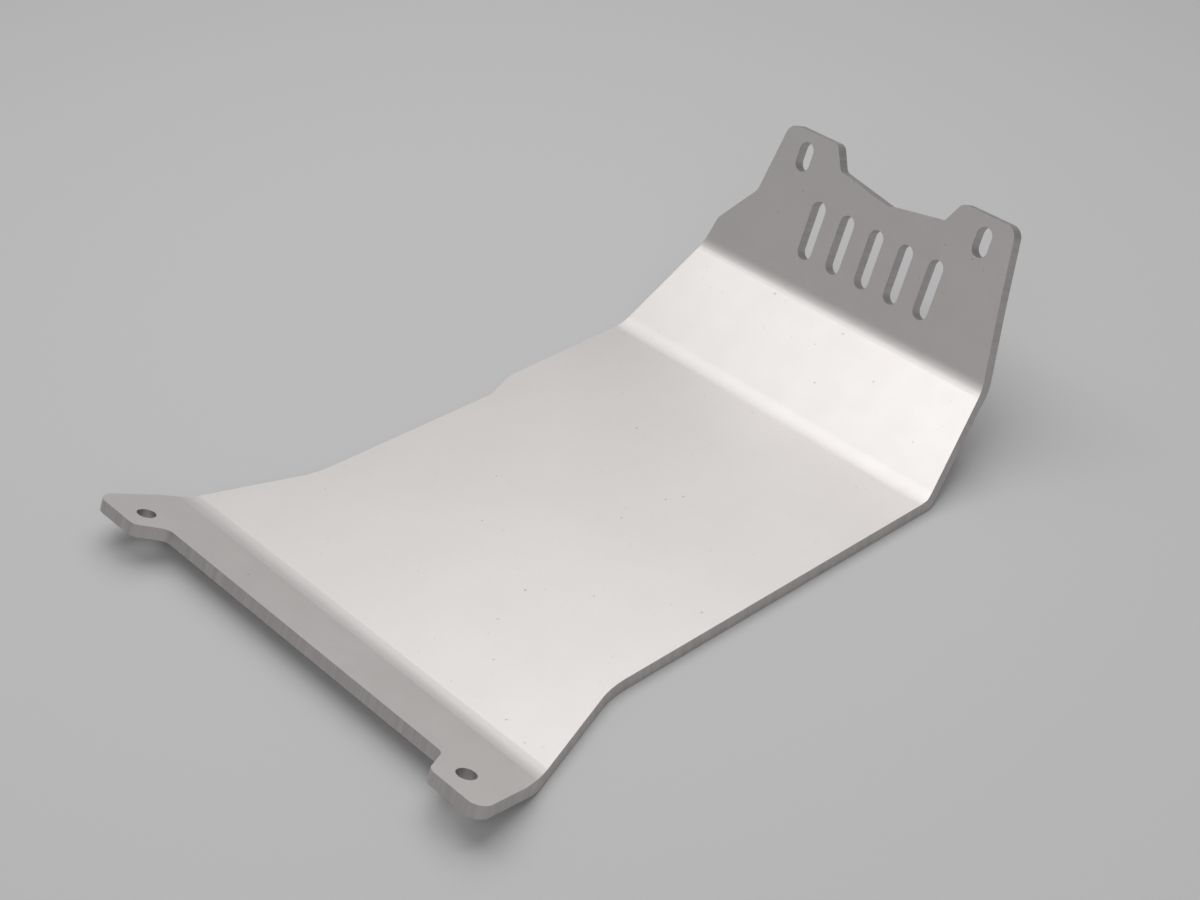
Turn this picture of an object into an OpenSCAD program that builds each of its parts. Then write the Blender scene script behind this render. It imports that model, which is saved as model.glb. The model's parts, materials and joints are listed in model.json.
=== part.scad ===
// Motorcycle skid plate: one laser-cut aluminium blank, press-folded along three lines.
// +X is right, +Y is forward, +Z is up. The origin is the middle of the underside of the
// main panel, which lies flat on the floor.
// Lengths along a panel are measured on its inner face, from the sharp corner that the
// face would have at its fold if the fold had no radius.

/* [Sheet and folds] */
// Thickness of the sheet
sheet_t = 4.76; // [3:0.01:6]
// Upward angle of the rear flange
flange_angle = 21; // [10:0.5:30]
// Inside radius of the rear fold
flange_r = 20; // [8:1:30]
// Length of the main panel, between its two folds
main_l = 197.8; // [180:0.1:240]
// Upward angle of the sloping panel
slope_angle = 28.8; // [15:0.1:40]
// Inside radius of the fold between the main and sloping panels
slope_r = 16; // [8:1:30]
// Length of the sloping panel, between its two folds
slope_l = 47.7; // [38:0.1:70]
// Further upward angle of the upper panel, beyond that of the sloping panel
upper_angle = 38.4; // [20:0.1:45]
// Inside radius of the fold between the sloping and upper panels
upper_r = 11; // [6:1:16]

/* [Rear flange] */
// Length of the flange, to the end of its ears
flange_l = 33.9; // [32:0.1:40]
// Half width at the tips of the ears
tip_x = 106.3; // [104:0.1:112]
// Half width at the root of the ears, where the flare begins
flare_x = 100.8; // [98:0.1:103]
// Distance of that root behind the fold
flare_back = 10; // [7:0.5:14]
// Depth of the recess between the ears
recess_depth = 10.8; // [7:0.1:14]
// Half width of the recess at its bottom
recess_x = 75.6; // [65:0.1:77]
// Half width of the recess at its mouth
recess_mouth_x = 81.9; // [79:0.1:83]
// Radius of the corners of the recess
recess_corner_r = 4; // [1:0.5:5]

/* [Main panel] */
// Distance ahead of the rear fold at which the flare meets the straight sides
flare_l = 43.5; // [36:0.5:60]
// Radius in that corner
flare_r = 35; // [15:1:45]
// Right half width
right_x = 80.4; // [78:0.1:84]
// Left half width just ahead of the flare
left_x = 79.2; // [78:0.1:82]
// Left half width where the outward step begins
step_in_x = 77.3; // [75:0.1:78.5]
// Left half width where the outward step ends
step_out_x = 82.7; // [82.4:0.1:84]
// Distance from the rear fold to the start of the step
step_start = 124.6; // [90:0.1:140]
// Length of the step
step_l = 13.6; // [11:0.1:30]
// Radius of the two corners of the step
step_r = 10; // [4:0.5:14]

/* [Sloping panel] */
// Left half width at the lower fold
slope_left_x = 82.4; // [81.5:0.1:85]
// Left half width at the upper fold
upper_left_x = 79.6; // [78.5:0.1:81]
// Right half width at the upper fold
upper_right_x = 67.5; // [65:0.1:75]

/* [Upper panel] */
// Length of the panel, to the end of its ears
upper_l = 59.6; // [56:0.1:70]
// Left half width at the shoulder
shoulder_x = 76.6; // [72:0.1:78]
// Distance of the shoulder from the fold
shoulder_l = 12; // [9:0.5:16]
// Half width at the root of the ears
neck_x = 61.8; // [60:0.1:64]
// Distance of that root from the fold
neck_l = 29.6; // [26:0.1:34]
// Half width at the top of the ears
crown_x = 56.7; // [55:0.1:59]
// Radius of the left side at the shoulder and at the root of the ear
neck_r = 6; // [1:0.5:10]
// Depth of the notch between the ears, in its middle
notch_depth = 13.3; // [11.5:0.1:15.5]
// Half width of the notch at its bottom corners
notch_x = 26.2; // [20:0.1:28]
// Depth of the notch at those corners
notch_corner_depth = 9; // [7.5:0.1:10.5]
// Half width of the notch at its mouth
notch_mouth_x = 31.4; // [29:0.1:34]
// Radius of the corners of the notch
notch_r = 3; // [1:0.5:4]
// Radius of the outer corners of all four ears
ear_r = 5; // [3:0.5:7]

/* [Fixings] */
// Diameter of the two round holes, and width of the two slots
bolt_d = 7; // [6:0.1:9]
// Half the distance between the round holes
hole_x = 88.35; // [86:0.05:91]
// Distance of the round holes from the end of the ears
hole_inset = 9.8; // [8:0.1:12]
// Half the distance between the slots
slot_x = 45; // [43:0.1:47]
// Distance of the middle of the slots from the top of the ears
slot_inset = 10; // [9:0.1:12]
// Overall length of a slot
slot_length = 11.8; // [9.5:0.1:12]

/* [Vents] */
// Number of vents in the upper panel
vent_count = 5; // [1:1:6]
// Distance between neighbouring vents
vent_pitch = 15; // [9:0.5:16]
// Width of a vent
vent_w = 7; // [4:0.5:8]
// Distance of the foot of the vents from the upper fold
vent_start = 12.5; // [9:0.1:18]
// Distance of the top of the vents from the middle of the notch
vent_land = 9.8; // [6:0.1:14]

/* [Hidden] */
$fn = 96;

// Margin by which the strip outruns the blank
spare = 6;
// Margin by which a cut outruns the strip, past its side
side_spare = 20;
// Clearance of a cut above and below the sheet
clear = 4;
// Distance a cut runs past the fold of its panel
lap = 8;
// Margin that makes an arc cross the lines it joins, instead of only touching them
bite = 0.003;
strip_x = tip_x + spare;
far_x = strip_x + side_spare;
front_l = slope_l + upper_l;
vent_length = upper_l - notch_depth - vent_land - vent_start;

// Folds from rear to front, and the slopes of the four panels
fold_angle = [flange_angle, slope_angle, upper_angle];
fold_r = [flange_r, slope_r, upper_r];
slopes = [-flange_angle, 0, slope_angle, slope_angle + upper_angle];

function along(a) = [cos(a), sin(a)];
function normal(a) = [-sin(a), cos(a)];
function unit(v) = v / norm(v);
function spot(q) = [q[0], q[1]];
function backwards(path) = [for (k = [len(path) - 1:-1:0]) path[k]];

// Sharp corner of the inner face at fold i, as [y, z]
function knee(i) = i == 0 ? [-main_l / 2, sheet_t]
    : i == 1 ? [main_l / 2, sheet_t]
    : [main_l / 2, sheet_t] + slope_l * along(slope_angle);
// Corner of the profile at fold i, on the face that lies h above the inner one
function profile_corner(i, h) = concat(
    knee(i) + h / cos(fold_angle[i] / 2) * normal((slopes[i] + slopes[i + 1]) / 2),
    [fold_r[i] - h]);
// Ends of that face of the strip, at the rear and at the front
function profile_rear(h) =
    concat(knee(0) - (flange_l + spare) * along(slopes[0]) + h * normal(slopes[0]), [0]);
function profile_front(h) =
    concat(knee(2) + (upper_l + spare) * along(slopes[3]) + h * normal(slopes[3]), [0]);

// Point at l on the straight line through [x, l] points a and b
function at_l(a, b, l) = [a[0] + (b[0] - a[0]) * (l - a[1]) / (b[1] - a[1]), l, 0];
// Half of a symmetrical outline, joined to its mirror image
function both_sides(half) = concat(
    [for (q = backwards(half)) if (q[0] > 0) [-q[0], q[1], q[2]]],
    half);

// Turn at a corner [p, q, s], and twice the area inside a closed path
function turn(c) = cross(spot(c[1]) - spot(c[0]), spot(c[2]) - spot(c[1]));
function winding(path) = let (n = len(path),
    parts = [for (k = [0:n - 1]) cross(spot(path[k]), spot(path[(k + 1) % n]))])
    parts * [for (part = parts) 1];

// Piece between a corner at q and the arc that rounds it, for sides towards p and s,
// running 1 mm past both sides
module corner_piece(c) {
    q = spot(c[1]);
    r = c[1][2];
    u = unit(spot(c[0]) - q);
    v = unit(spot(c[2]) - q);
    half = acos(u * v) / 2;
    centre = q + r / sin(half) * unit(u + v);
    grow = 1 + 1 / r;
    translate(centre) difference() {
        polygon([[0, 0],
            grow * (q + r / tan(half) * u - centre),
            grow * (q - centre),
            grow * (q + r / tan(half) * v - centre)]);
        circle(r = r + bite);
    }
}

// Closed outline through points [x, y, radius], with true arcs in its corners
module rounded(path) {
    n = len(path);
    way = sign(winding(path));
    arcs = [for (k = [0:n - 1]) if (path[k][2] > 0)
        [path[(k + n - 1) % n], path[k], path[(k + 1) % n]]];
    difference() {
        union() {
            polygon([for (q = path) spot(q)]);
            for (c = arcs) if (turn(c) * way < 0) corner_piece(c);
        }
        for (c = arcs) if (turn(c) * way > 0) corner_piece(c);
    }
}

// Profile of everything above the face at height h, which runs out past its two ends
module above(h, out) {
    rear = profile_rear(h);
    front = profile_front(h);
    top = 2 * front_l + out;
    rounded([
        rear,
        for (i = [0:2]) profile_corner(i, h),
        front,
        [front[0] + out, front[1], 0],
        [front[0] + out, top, 0],
        [rear[0] - out, top, 0],
        [rear[0] - out, rear[1], 0]
    ]);
}

// Folded strip, wider and longer than the blank
module strip() {
    translate([-strip_x, 0, 0]) rotate([90, 0, 90]) linear_extrude(2 * strip_x)
        difference() {
            above(-sheet_t, 1);
            above(0, side_spare);
        }
}

// Cut square through a panel, for an outline drawn on the panel from its fold.
// It reaches to the height high above the inner face.
module cut(panel, high = clear) {
    k = knee(max(panel - 1, 0));
    translate([0, k[0], k[1]]) rotate([slopes[panel], 0, 0])
        translate([0, 0, -sheet_t - clear]) linear_extrude(sheet_t + clear + high)
            children();
}

// Everything outside a right-hand edge that runs from rear to front
module beside(edge) {
    rounded(concat(edge,
        [[far_x, edge[len(edge) - 1][1], 0], [far_x, edge[0][1], 0]]));
}

// Slot along the panel
module slot(w, length) {
    square([w, length - w], center = true);
    for (side = [-1, 1]) translate([0, side * (length - w) / 2]) circle(d = w);
}

module rear_flange_cut() {
    root = [flare_x, -flare_back, 0];
    tip = [tip_x, -flange_l, ear_r];
    mouth = [recess_mouth_x, -flange_l, recess_corner_r];
    end_l = -flange_l - 2 * spare;
    cut(0) {
        rounded(both_sides([
            [recess_x, recess_depth - flange_l, recess_corner_r],
            mouth,
            [far_x, -flange_l, 0],
            [far_x, end_l, 0]
        ]));
        for (side = [0, 1]) mirror([side, 0]) {
            beside([at_l(root, tip, end_l), at_l(root, tip, lap)]);
            corner_piece([mouth, tip, root]);
            translate([hole_x, hole_inset - flange_l]) circle(d = bolt_d);
        }
    }
}

module main_panel_cut() {
    // Root of the ears as seen from above, because these cuts are upright
    root = [flare_x, -flare_back * cos(flange_angle), 0];
    rear_y = -flange_l - 2 * spare;
    front_y = main_l + front_l;
    right_corner = [right_x, flare_l, flare_r];
    left_corner = [left_x, flare_l, flare_r];
    cut(1, front_l) {
        beside([at_l(root, right_corner, rear_y), right_corner, [right_x, front_y, 0]]);
        mirror([1, 0]) beside([
            at_l(root, left_corner, rear_y),
            left_corner,
            [step_in_x, step_start, step_r],
            [step_out_x, step_start + step_l, step_r],
            [slope_left_x, main_l, 0],
            [slope_left_x, front_y, 0]
        ]);
    }
}

module sloping_panel_cut() {
    lower = [slope_left_x, 0, 0];
    upper = [upper_left_x, slope_l, 0];
    cut(2) mirror([1, 0])
        beside([at_l(lower, upper, -lap), at_l(lower, upper, slope_l + lap)]);
}

// Right side of both front panels. Their edges meet in a hollow corner at the fold, so
// only what lies outside both edges is cut.
module right_front_cut() {
    lower = [right_x, 0, 0];
    upper = [upper_right_x, slope_l, 0];
    fold = [upper_right_x, 0, 0];
    neck = [neck_x, neck_l, 0];
    crown = [crown_x, upper_l, 0];
    intersection() {
        cut(2, front_l)
            beside([at_l(lower, upper, -lap), at_l(lower, upper, front_l + 2 * spare)]);
        cut(3, front_l) beside([at_l(fold, neck, -slope_l - lap), neck,
            at_l(neck, crown, upper_l + 2 * spare)]);
    }
}

module upper_panel_cut() {
    end_l = upper_l + 2 * spare;
    fold = [upper_left_x, 0, 0];
    shoulder = [shoulder_x, shoulder_l, neck_r];
    neck = [neck_x, neck_l, neck_r];
    crown = [crown_x, upper_l, ear_r];
    mouth = [notch_mouth_x, upper_l, notch_r];
    cut(3) {
        rounded(both_sides([
            [0, upper_l - notch_depth, notch_r],
            [notch_x, upper_l - notch_corner_depth, notch_r],
            mouth,
            [far_x, upper_l, 0],
            [far_x, end_l, 0]
        ]));
        mirror([1, 0]) beside([at_l(fold, shoulder, -lap), shoulder, neck,
            at_l(neck, crown, end_l)]);
        for (side = [0, 1]) mirror([side, 0]) {
            corner_piece([mouth, crown, neck]);
            translate([slot_x, upper_l - slot_inset]) slot(bolt_d, slot_length);
        }
        for (i = [0:vent_count - 1])
            translate([(i - (vent_count - 1) / 2) * vent_pitch, vent_start + vent_length / 2])
                slot(vent_w, vent_length);
    }
}

module skid_plate() {
    color("gainsboro") difference() {
        strip();
        rear_flange_cut();
        main_panel_cut();
        sloping_panel_cut();
        right_front_cut();
        upper_panel_cut();
    }
}

skid_plate();
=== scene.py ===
import json
import math

import bpy
from mathutils import Matrix, Vector

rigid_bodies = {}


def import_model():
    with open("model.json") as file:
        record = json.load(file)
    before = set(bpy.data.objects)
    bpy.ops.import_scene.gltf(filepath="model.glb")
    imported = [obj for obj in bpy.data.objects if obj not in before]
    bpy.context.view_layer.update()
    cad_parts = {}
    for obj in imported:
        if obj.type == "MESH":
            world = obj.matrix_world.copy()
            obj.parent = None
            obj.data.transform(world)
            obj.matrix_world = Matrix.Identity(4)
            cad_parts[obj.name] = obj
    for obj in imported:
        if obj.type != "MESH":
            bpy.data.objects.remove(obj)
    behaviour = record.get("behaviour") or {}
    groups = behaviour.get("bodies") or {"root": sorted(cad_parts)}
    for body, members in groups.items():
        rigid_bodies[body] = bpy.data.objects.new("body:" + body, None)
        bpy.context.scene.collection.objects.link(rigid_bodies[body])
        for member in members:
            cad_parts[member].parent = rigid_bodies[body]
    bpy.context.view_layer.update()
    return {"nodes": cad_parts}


# Sizes are in metres, and texture scales are in cells or waves per metre

# Slopes of the four panels from rear to front, in degrees
SLOPES = (-21.0, 0.0, 28.8, 67.2)
# Distance of the first two folds from the middle, and of the third from the second
MAIN_HALF = 0.0989
SLOPE_RUN = 0.0477 * math.cos(math.radians(SLOPES[2]))
UPPER_FOLD = MAIN_HALF + SLOPE_RUN
# Where each fold starts and ends along y, from rear to front
FOLDS = (
    (-MAIN_HALF - 0.006, -MAIN_HALF + 0.006),
    (MAIN_HALF - 0.006, MAIN_HALF + 0.008),
    (UPPER_FOLD - 0.003, UPPER_FOLD + 0.006),
)
# Rounding of the deburred edges, and the distance within which imported corners are one
EDGE_R = 0.0004
SHARP_ANGLE = 35.0
WELD_DISTANCE = 0.000004

# Camera, solved from the photograph: image width and focal length in pixels, angles in
# degrees
IMAGE_W = 1200
FOCAL_PX = 2256.4
SENSOR_MM = 36.0
CAM_AZIMUTH = 47.74
CAM_ELEVATION = 34.80
CAM_ROLL = 0.495
CAM_TARGET = (-0.02671, 0.03646, 0.0)
CAM_DISTANCE = 0.8461

# Studio: a pale floor, an even surround and two softboxes
FLOOR_SIZE = 8.0
FLOOR_COLOUR = (0.58, 0.58, 0.58)
FLOOR_ROUGHNESS = 0.85
WORLD_COLOUR = (0.88, 0.88, 0.89)
WORLD_STRENGTH = 0.31
KEY = {"place": (-0.20, 0.12, 0.90), "target": (0.0, 0.08, 0.02), "side": 1.10, "watts": 6.2}
FILL = {"place": (0.75, -0.75, 0.85), "target": (0.0, 0.0, 0.0), "side": 0.90, "watts": 2.5}

# Blasted faces: two near tones, the darker grain in them, and small faint specks
FACE_TONES = ((0.760, 0.732, 0.718, 1), (0.775, 0.750, 0.737, 1))
GRAIN_TONE = (0.62, 0.60, 0.59, 1)
SPECK_TONE = (0.34, 0.32, 0.31, 1)
TONE_SCALE = 16.0
GRAIN_SCALE = 2600.0
FINE_GRAIN_SCALE = 6500.0
GRAIN_STRENGTH = 0.16
FACE_ROUGHNESS = (0.505, 0.525)
CLOUD_SCALE = 95.0
# Specks sit one to a cell. Their radius is a share of the cell, and the cells that draw a
# number under the limit have none.
SPECK_SCALE = 190.0
SPECK_RADIUS = (0.05, 0.13)
SPECK_LIMIT = 0.35
SPECK_STRENGTH = 0.55
SPECK_WARP_SCALE = 1100.0
SPECK_WARP = 0.0012

# Laser-cut walls: fine stripes, broader drag lines over them, and a pale rim that is partly
# the burnish of deburring and partly a painted highlight
CUT_TONES = ((0.53, 0.508, 0.496, 1), (0.63, 0.606, 0.593, 1))
DRAG_TONE = (0.42, 0.40, 0.39, 1)
RIM_BURNISH_AND_HIGHLIGHT_TONE = (0.93, 0.91, 0.90, 1)
STRIPE_SCALE = 2600.0
DRAG_SCALE = 420.0
DRAG_STRENGTH = 0.35
CUT_ROUGHNESS = (0.42, 0.60)
RIM_ROUGHNESS = 0.30

# Relief of grain and stripes
BUMP_STRENGTH = 0.35
BUMP_HEIGHT = 0.00003


def remove_defaults():
    for item in list(bpy.data.objects):
        bpy.data.objects.remove(item, do_unlink=True)


class Nodes:
    """Short names for building one material's node tree."""

    def __init__(self, name):
        self.material = bpy.data.materials.new(name)
        self.material.use_nodes = True
        self.tree = self.material.node_tree
        self.tree.nodes.clear()
        output = self.tree.nodes.new("ShaderNodeOutputMaterial")
        self.shader = self.tree.nodes.new("ShaderNodeBsdfPrincipled")
        self.join(self.shader.outputs[0], output.inputs[0])
        coords = self.tree.nodes.new("ShaderNodeTexCoord")
        self.place = coords.outputs["Object"]
        self.facing = coords.outputs["Normal"]

    def join(self, source, socket):
        """Links an output to the socket, or writes a plain value into it."""
        if hasattr(source, "is_output"):
            self.tree.links.new(source, socket)
        else:
            socket.default_value = source

    def fill(self, node, sockets, values):
        for socket, value in zip(sockets, values):
            self.join(value, socket)
        return node

    def math(self, kind, *values):
        node = self.tree.nodes.new("ShaderNodeMath")
        node.operation = kind
        return self.fill(node, node.inputs, values).outputs[0]

    def add(self, a, b):
        return self.math("ADD", a, b)

    def less(self, a, b):
        return self.math("SUBTRACT", a, b)

    def times(self, a, b):
        return self.math("MULTIPLY", a, b)

    def ramp(self, value, low, high, to_low=0.0, to_high=1.0):
        node = self.tree.nodes.new("ShaderNodeMapRange")
        node.interpolation_type = "SMOOTHSTEP"
        return self.fill(node, node.inputs, (value, low, high, to_low, to_high)).outputs[0]

    def split(self, vector):
        node = self.tree.nodes.new("ShaderNodeSeparateXYZ")
        return self.fill(node, node.inputs, (vector,)).outputs

    def combine(self, x, y, z):
        node = self.tree.nodes.new("ShaderNodeCombineXYZ")
        return self.fill(node, node.inputs, (x, y, z)).outputs[0]

    def noise(self, vector, scale, detail=2.0, roughness=0.5):
        node = self.tree.nodes.new("ShaderNodeTexNoise")
        sockets = [node.inputs[k] for k in ("Vector", "Scale", "Detail", "Roughness")]
        return self.fill(node, sockets, (vector, scale, detail, roughness)).outputs

    def cells(self, vector, scale):
        node = self.tree.nodes.new("ShaderNodeTexVoronoi")
        sockets = [node.inputs[k] for k in ("Vector", "Scale")]
        self.fill(node, sockets, (vector, scale))
        return node.outputs["Distance"], node.outputs["Color"]

    def warp(self, vector, scale, amount):
        node = self.tree.nodes.new("ShaderNodeVectorMath")
        node.operation = "MULTIPLY_ADD"
        drift = self.noise(vector, scale)["Color"]
        return self.fill(node, node.inputs, (drift, (amount,) * 3, vector)).outputs[0]

    def mix(self, factor, a, b):
        """Mix of two colours."""
        node = self.tree.nodes.new("ShaderNodeMix")
        node.data_type = "RGBA"
        sockets = (node.inputs[0], node.inputs[6], node.inputs[7])
        return self.fill(node, sockets, (factor, a, b)).outputs[2]

    def blend(self, factor, a, b):
        """Mix of two numbers."""
        node = self.tree.nodes.new("ShaderNodeMix")
        node.data_type = "FLOAT"
        sockets = (node.inputs[0], node.inputs[2], node.inputs[3])
        return self.fill(node, sockets, (factor, a, b)).outputs[0]

    def bump(self, height, strength, distance):
        node = self.tree.nodes.new("ShaderNodeBump")
        sockets = [node.inputs[k] for k in ("Height", "Strength", "Distance")]
        return self.fill(node, sockets, (height, strength, distance)).outputs[0]


def panel_direction(n, y):
    """Inner normal (0, ny, nz) of the panel at y, blended across the folds."""
    tilts = [-math.sin(math.radians(slope)) for slope in SLOPES]
    ny = tilts[0]
    for (start, end), before, after in zip(FOLDS, tilts, tilts[1:]):
        ny = n.add(ny, n.ramp(y, start, end, 0.0, after - before))
    return ny, n.math("SQRT", n.less(1.0, n.times(ny, ny)))


def speck_mask(n):
    """Small irregular specks of uneven size and depth."""
    near, cell = n.cells(n.warp(n.place, SPECK_WARP_SCALE, SPECK_WARP), SPECK_SCALE)
    pick, size, depth = n.split(cell)
    radius = n.blend(size, *SPECK_RADIUS)
    spot = n.times(n.ramp(near, radius, n.times(radius, 0.3)), n.blend(depth, 0.3, 1.0))
    return n.times(spot, n.math("GREATER_THAN", pick, SPECK_LIMIT))


def bare_aluminium():
    """Blasted aluminium faces, striped laser-cut walls and a thin bright rim, deburred and
    brightened with a painted highlight.
    """
    n = Nodes("bare_aluminium")
    x, y, z = n.split(n.place)
    _, fy, fz = n.split(n.facing)
    ny, nz = panel_direction(n, y)
    # 1 on the faces of the sheet, 0 on its cut walls, and between them on the rims
    flatness = n.math("ABSOLUTE", n.add(n.times(fy, ny), n.times(fz, nz)))
    face = n.ramp(flatness, 0.55, 0.90)
    rim = n.times(n.ramp(flatness, 0.15, 0.5), n.ramp(flatness, 0.97, 0.80))

    # Distance along the sheet, for stripes that run square through it
    along = n.less(n.times(y, nz), n.times(z, ny))
    unrolled = n.combine(x, along, 0.0)
    stripes = n.noise(unrolled, STRIPE_SCALE, 3.0, 0.6)[0]
    drag = n.noise(unrolled, DRAG_SCALE, 2.0, 0.5)[0]

    tone = n.noise(n.place, TONE_SCALE, 4.0, 0.6)[0]
    cloud = n.noise(n.place, CLOUD_SCALE, 3.0, 0.55)[0]
    grain = n.noise(n.place, GRAIN_SCALE, 2.0, 0.6)[0]
    fine = n.noise(n.place, FINE_GRAIN_SCALE, 1.0, 0.5)[0]
    speck = speck_mask(n)

    pale = n.mix(n.ramp(tone, 0.35, 0.65), *FACE_TONES)
    pale = n.mix(n.times(n.ramp(grain, 0.25, 0.75), GRAIN_STRENGTH), pale, GRAIN_TONE)
    pale = n.mix(n.times(speck, SPECK_STRENGTH), pale, SPECK_TONE)
    cut = n.mix(n.ramp(stripes, 0.32, 0.68), *CUT_TONES)
    cut = n.mix(n.times(n.ramp(drag, 0.35, 0.7), DRAG_STRENGTH), cut, DRAG_TONE)
    # The rims are painted pale: partly the burnish of deburring, partly a painted highlight
    # along the edges
    colour = n.mix(n.times(rim, 0.7), n.mix(face, cut, pale), RIM_BURNISH_AND_HIGHLIGHT_TONE)
    n.join(colour, n.shader.inputs["Base Color"])

    dull = n.blend(n.ramp(cloud, 0.3, 0.7), *FACE_ROUGHNESS)
    dull = n.add(dull, n.times(speck, 0.2))
    rough = n.blend(face, n.blend(n.ramp(stripes, 0.3, 0.7), *CUT_ROUGHNESS), dull)
    rough = n.blend(n.times(rim, 0.6), rough, RIM_ROUGHNESS)
    n.join(rough, n.shader.inputs["Roughness"])
    n.shader.inputs["Metallic"].default_value = 1.0

    grit = n.add(n.times(grain, 0.6), n.times(fine, 0.4))
    grit = n.less(grit, n.times(speck, 1.2))
    height = n.blend(face, n.times(stripes, 2.5), grit)
    n.join(n.bump(height, BUMP_STRENGTH, BUMP_HEIGHT), n.shader.inputs["Normal"])
    return n.material


def finish_plate(plate):
    """Welds the imported faces, rounds the sharp edges slightly and sets the material."""
    plate.data.materials.clear()
    plate.data.materials.append(bare_aluminium())
    weld = plate.modifiers.new("weld", "WELD")
    weld.merge_threshold = WELD_DISTANCE
    bevel = plate.modifiers.new("deburred", "BEVEL")
    bevel.width = EDGE_R
    bevel.segments = 2
    bevel.limit_method = "ANGLE"
    bevel.angle_limit = math.radians(SHARP_ANGLE)
    bevel.harden_normals = True
    weighted = plate.modifiers.new("normals", "WEIGHTED_NORMAL")
    weighted.keep_sharp = True


def floor():
    n = Nodes("floor")
    n.shader.inputs["Base Color"].default_value = (*FLOOR_COLOUR, 1)
    n.shader.inputs["Roughness"].default_value = FLOOR_ROUGHNESS
    bpy.ops.mesh.primitive_plane_add(size=FLOOR_SIZE)
    plane = bpy.context.object
    plane.name = "floor"
    plane.data.materials.append(n.material)


def world():
    studio = bpy.data.worlds.new("studio")
    bpy.context.scene.world = studio
    studio.use_nodes = True
    background = studio.node_tree.nodes["Background"]
    background.inputs[0].default_value = (*WORLD_COLOUR, 1)
    background.inputs[1].default_value = WORLD_STRENGTH


def softbox(name, place, target, side, watts):
    """Square area lamp at a place, turned to face the target."""
    data = bpy.data.lights.new(name, "AREA")
    data.shape = "SQUARE"
    data.size = side
    data.energy = watts
    lamp = bpy.data.objects.new(name, data)
    bpy.context.scene.collection.objects.link(lamp)
    lamp.location = place
    aim = Vector(target) - Vector(place)
    lamp.rotation_euler = aim.to_track_quat("-Z", "Y").to_euler()


def camera():
    azimuth, elevation, roll = map(math.radians, (CAM_AZIMUTH, CAM_ELEVATION, CAM_ROLL))
    back = Vector((
        math.sin(azimuth) * math.cos(elevation),
        -math.cos(azimuth) * math.cos(elevation),
        math.sin(elevation),
    ))
    level = Vector((math.cos(azimuth), math.sin(azimuth), 0.0))
    upright = back.cross(level)
    right = level * math.cos(roll) + upright * math.sin(roll)
    up = upright * math.cos(roll) - level * math.sin(roll)
    data = bpy.data.cameras.new("camera")
    data.sensor_width = SENSOR_MM
    data.lens = SENSOR_MM * FOCAL_PX / IMAGE_W
    view = bpy.data.objects.new("camera", data)
    bpy.context.scene.collection.objects.link(view)
    turn = Matrix((right, up, back)).transposed().to_4x4()
    view.matrix_world = Matrix.Translation(Vector(CAM_TARGET) + back * CAM_DISTANCE) @ turn
    bpy.context.scene.camera = view


remove_defaults()
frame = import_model()

finish_plate(frame["nodes"]["skid_plate"])
floor()
world()
softbox("key", **KEY)
softbox("fill", **FILL)
camera()
bpy.context.scene.view_settings.view_transform = "Standard"
